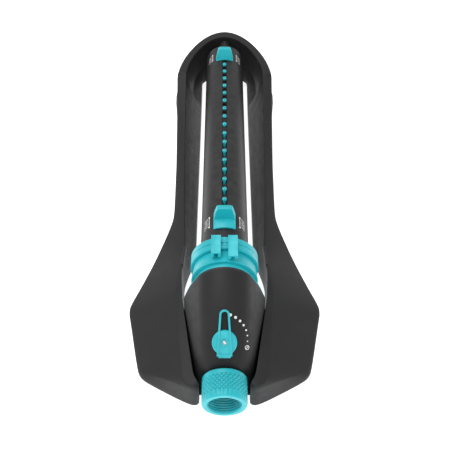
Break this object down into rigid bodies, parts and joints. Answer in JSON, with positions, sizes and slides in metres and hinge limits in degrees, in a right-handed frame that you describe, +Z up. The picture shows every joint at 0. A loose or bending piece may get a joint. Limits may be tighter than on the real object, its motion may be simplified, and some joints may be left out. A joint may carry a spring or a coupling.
{
  "type": "oscillating garden sprinkler",
  "caption": "Oscillating lawn sprinkler with a wide winged base, a swinging spray tube with tilting nozzles, range rings, width sliders, flow lever and threaded hose inlet.",
  "frame": {"origin": "on the ground at the middle of the object's footprint (bottom centre of its box)", "axes": "+Z up, +Y from the hose end to the far end of the spray tube, +X to the right seen from the hose end"},
  "size_m": [0.183, 0.495, 0.092],
  "materials": {
    "charcoal_plastic": "fine moulded texture, dark grey, satin on the rounded covers",
    "turquoise_plastic": "bright turquoise moulded plastic, soft sheen",
    "natural_acetal": "unpigmented gear plastic, off-white",
    "black_rubber": "soft black rubber",
    "bright_steel": "bright stainless steel",
    "filter_mesh": "fine woven wire mesh"
  },
  "bodies": {
    "base": {"base_frame": "charcoal_plastic", "rear_bumper": "charcoal_plastic", "rubber_foot_1": "black_rubber", "rubber_foot_2": "black_rubber", "rubber_foot_3": "black_rubber", "rubber_foot_4": "black_rubber", "motor_cover": "charcoal_plastic", "drive_housing": "turquoise_plastic", "gearbox_case": "charcoal_plastic", "valve_housing": "charcoal_plastic", "filter_screen": "filter_mesh", "turbine_stator": "charcoal_plastic", "rotor_axle": "bright_steel", "side_axle": "bright_steel", "trip_spring": "bright_steel", "motor_screw_1": "bright_steel", "motor_screw_2": "bright_steel", "rear_bearing": "natural_acetal"},
    "nut": {"inlet_nut": "turquoise_plastic", "inlet_washer": "black_rubber"},
    "lever": {"flow_lever": "turquoise_plastic", "lever_screw": "bright_steel", "valve_plug": "natural_acetal", "valve_seal": "black_rubber"},
    "tube": {"spray_tube": "charcoal_plastic", "output_hub": "natural_acetal", "water_channel": "charcoal_plastic", "tube_base": "charcoal_plastic", "tube_end_cap": "charcoal_plastic", "nozzle_09": "turquoise_plastic"},
    "ring_front": {"range_ring_front": "turquoise_plastic"},
    "ring_rear": {"range_ring_rear": "turquoise_plastic"},
    "slider_front": {"front_slider": "turquoise_plastic", "front_comb": "charcoal_plastic"},
    "slider_rear": {"rear_slider": "turquoise_plastic", "rear_comb": "charcoal_plastic"},
    "rotor": {"turbine_rotor": "natural_acetal"},
    "gear_one": {"gear_1": "natural_acetal"},
    "gear_two": {"gear_2": "natural_acetal"},
    "gear_three": {"gear_3": "natural_acetal"},
    "carrier": {"reversing_carrier": "charcoal_plastic"},
    "idler_left": {"idler_a": "natural_acetal"},
    "idler_right": {"idler_b": "natural_acetal"},
    "idler_far": {"idler_c": "natural_acetal"},
    "jet_01": {"nozzle_01": "turquoise_plastic"},
    "jet_02": {"nozzle_02": "turquoise_plastic"},
    "jet_03": {"nozzle_03": "turquoise_plastic"},
    "jet_04": {"nozzle_04": "turquoise_plastic"},
    "jet_05": {"nozzle_05": "turquoise_plastic"},
    "jet_06": {"nozzle_06": "turquoise_plastic"},
    "jet_07": {"nozzle_07": "turquoise_plastic"},
    "jet_08": {"nozzle_08": "turquoise_plastic"},
    "jet_10": {"nozzle_10": "turquoise_plastic"},
    "jet_11": {"nozzle_11": "turquoise_plastic"},
    "jet_12": {"nozzle_12": "turquoise_plastic"},
    "jet_13": {"nozzle_13": "turquoise_plastic"},
    "jet_14": {"nozzle_14": "turquoise_plastic"},
    "jet_15": {"nozzle_15": "turquoise_plastic"},
    "jet_16": {"nozzle_16": "turquoise_plastic"},
    "jet_17": {"nozzle_17": "turquoise_plastic"}
  },
  "joints": [
    {"name": "nut_swivel", "type": "hinge", "parent": "base", "child": "nut", "pos_m": [0, -0.235, 0.026], "axis": [0, 1, 0], "continuous": true},
    {"name": "flow_lever_turn", "type": "hinge", "parent": "base", "child": "lever", "pos_m": [0, -0.205, 0.0545], "axis": [0, -0.5736, 0.8192], "range_deg": [-90, 0]},
    {"name": "tube_sweep", "type": "hinge", "parent": "base", "child": "tube", "pos_m": [0, 0, 0.056], "axis": [0, 1, 0], "range_deg": [-55, 55]},
    {"name": "front_ring_turn", "type": "hinge", "parent": "base", "child": "ring_front", "pos_m": [0, -0.1277, 0.056], "axis": [0, 1, 0], "range_deg": [-50, 0]},
    {"name": "rear_ring_turn", "type": "hinge", "parent": "base", "child": "ring_rear", "pos_m": [0, -0.1211, 0.056], "axis": [0, 1, 0], "range_deg": [0, 50]},
    {"name": "front_slider_slide", "type": "slide", "parent": "tube", "child": "slider_front", "axis": [0, -1, 0], "range_m": [0, 0.006]},
    {"name": "rear_slider_slide", "type": "slide", "parent": "tube", "child": "slider_rear", "axis": [0, 1, 0], "range_m": [0, 0.006]},
    {"name": "rotor_spin", "type": "hinge", "parent": "base", "child": "rotor", "pos_m": [0, -0.1705, 0.0469], "axis": [0, 1, 0], "continuous": true},
    {"name": "gear_1_spin", "type": "hinge", "parent": "base", "child": "gear_one", "pos_m": [0, -0.164, 0.037], "axis": [0, 1, 0], "continuous": true},
    {"name": "gear_2_spin", "type": "hinge", "parent": "base", "child": "gear_two", "pos_m": [0, -0.16, 0.0469], "axis": [0, 1, 0], "continuous": true},
    {"name": "gear_3_spin", "type": "hinge", "parent": "base", "child": "gear_three", "pos_m": [0, -0.145, 0.037], "axis": [0, 1, 0], "continuous": true},
    {"name": "reverser_rock", "type": "hinge", "parent": "base", "child": "carrier", "pos_m": [0, -0.1392, 0.037], "axis": [0, 1, 0], "range_deg": [-4, 4]},
    {"name": "idler_a_spin", "type": "hinge", "parent": "carrier", "child": "idler_left", "pos_m": [-0.00528, -0.1336, 0.04043], "axis": [0, 1, 0], "continuous": true},
    {"name": "idler_b_spin", "type": "hinge", "parent": "carrier", "child": "idler_right", "pos_m": [0.0062, -0.1336, 0.03809], "axis": [0, 1, 0], "continuous": true},
    {"name": "idler_c_spin", "type": "hinge", "parent": "carrier", "child": "idler_far", "pos_m": [0.01102, -0.1336, 0.04345], "axis": [0, 1, 0], "continuous": true},
    {"name": "nozzle_01_tilt", "type": "hinge", "parent": "tube", "child": "jet_01", "pos_m": [0, -0.06939, 0.062], "axis": [1, 0, 0], "range_deg": [0, 28]},
    {"name": "nozzle_02_tilt", "type": "hinge", "parent": "tube", "child": "jet_02", "pos_m": [0, -0.05574, 0.062], "axis": [1, 0, 0], "range_deg": [0, 28]},
    {"name": "nozzle_03_tilt", "type": "hinge", "parent": "tube", "child": "jet_03", "pos_m": [0, -0.04209, 0.062], "axis": [1, 0, 0], "range_deg": [0, 28]},
    {"name": "nozzle_04_tilt", "type": "hinge", "parent": "tube", "child": "jet_04", "pos_m": [0, -0.02844, 0.062], "axis": [1, 0, 0], "range_deg": [0, 28]},
    {"name": "nozzle_05_tilt", "type": "hinge", "parent": "tube", "child": "jet_05", "pos_m": [0, -0.01479, 0.062], "axis": [1, 0, 0], "range_deg": [0, 28]},
    {"name": "nozzle_06_tilt", "type": "hinge", "parent": "tube", "child": "jet_06", "pos_m": [0, -0.00114, 0.062], "axis": [1, 0, 0], "range_deg": [0, 28]},
    {"name": "nozzle_07_tilt", "type": "hinge", "parent": "tube", "child": "jet_07", "pos_m": [0, 0.01251, 0.062], "axis": [1, 0, 0], "range_deg": [0, 28]},
    {"name": "nozzle_08_tilt", "type": "hinge", "parent": "tube", "child": "jet_08", "pos_m": [0, 0.02616, 0.062], "axis": [1, 0, 0], "range_deg": [0, 28]},
    {"name": "nozzle_10_tilt", "type": "hinge", "parent": "tube", "child": "jet_10", "pos_m": [0, 0.06224, 0.062], "axis": [-1, 0, 0], "range_deg": [0, 28]},
    {"name": "nozzle_11_tilt", "type": "hinge", "parent": "tube", "child": "jet_11", "pos_m": [0, 0.07589, 0.062], "axis": [-1, 0, 0], "range_deg": [0, 28]},
    {"name": "nozzle_12_tilt", "type": "hinge", "parent": "tube", "child": "jet_12", "pos_m": [0, 0.08954, 0.062], "axis": [-1, 0, 0], "range_deg": [0, 28]},
    {"name": "nozzle_13_tilt", "type": "hinge", "parent": "tube", "child": "jet_13", "pos_m": [0, 0.10319, 0.062], "axis": [-1, 0, 0], "range_deg": [0, 28]},
    {"name": "nozzle_14_tilt", "type": "hinge", "parent": "tube", "child": "jet_14", "pos_m": [0, 0.11684, 0.062], "axis": [-1, 0, 0], "range_deg": [0, 28]},
    {"name": "nozzle_15_tilt", "type": "hinge", "parent": "tube", "child": "jet_15", "pos_m": [0, 0.13049, 0.062], "axis": [-1, 0, 0], "range_deg": [0, 28]},
    {"name": "nozzle_16_tilt", "type": "hinge", "parent": "tube", "child": "jet_16", "pos_m": [0, 0.14414, 0.062], "axis": [-1, 0, 0], "range_deg": [0, 28]},
    {"name": "nozzle_17_tilt", "type": "hinge", "parent": "tube", "child": "jet_17", "pos_m": [0, 0.15779, 0.062], "axis": [-1, 0, 0], "range_deg": [0, 28]}
  ],
  "couplings": [
    {"joint": "gear_1_spin", "follows": "rotor_spin", "ratio": -0.375},
    {"joint": "gear_2_spin", "follows": "rotor_spin", "ratio": 0.14062},
    {"joint": "gear_3_spin", "follows": "rotor_spin", "ratio": -0.052734},
    {"joint": "idler_a_spin", "follows": "rotor_spin", "ratio": 0.039551},
    {"joint": "idler_b_spin", "follows": "rotor_spin", "ratio": 0.039551},
    {"joint": "idler_c_spin", "follows": "rotor_spin", "ratio": -0.039551},
    {"joint": "nozzle_01_tilt", "follows": "front_slider_slide", "rad_per_m": 80.645},
    {"joint": "nozzle_02_tilt", "follows": "front_slider_slide", "rad_per_m": 80.645},
    {"joint": "nozzle_03_tilt", "follows": "front_slider_slide", "rad_per_m": 80.645},
    {"joint": "nozzle_04_tilt", "follows": "front_slider_slide", "rad_per_m": 80.645},
    {"joint": "nozzle_05_tilt", "follows": "front_slider_slide", "rad_per_m": 80.645},
    {"joint": "nozzle_06_tilt", "follows": "front_slider_slide", "rad_per_m": 80.645},
    {"joint": "nozzle_07_tilt", "follows": "front_slider_slide", "rad_per_m": 80.645},
    {"joint": "nozzle_08_tilt", "follows": "front_slider_slide", "rad_per_m": 80.645},
    {"joint": "nozzle_10_tilt", "follows": "rear_slider_slide", "rad_per_m": 80.645},
    {"joint": "nozzle_11_tilt", "follows": "rear_slider_slide", "rad_per_m": 80.645},
    {"joint": "nozzle_12_tilt", "follows": "rear_slider_slide", "rad_per_m": 80.645},
    {"joint": "nozzle_13_tilt", "follows": "rear_slider_slide", "rad_per_m": 80.645},
    {"joint": "nozzle_14_tilt", "follows": "rear_slider_slide", "rad_per_m": 80.645},
    {"joint": "nozzle_15_tilt", "follows": "rear_slider_slide", "rad_per_m": 80.645},
    {"joint": "nozzle_16_tilt", "follows": "rear_slider_slide", "rad_per_m": 80.645},
    {"joint": "nozzle_17_tilt", "follows": "rear_slider_slide", "rad_per_m": 80.645}
  ]
}
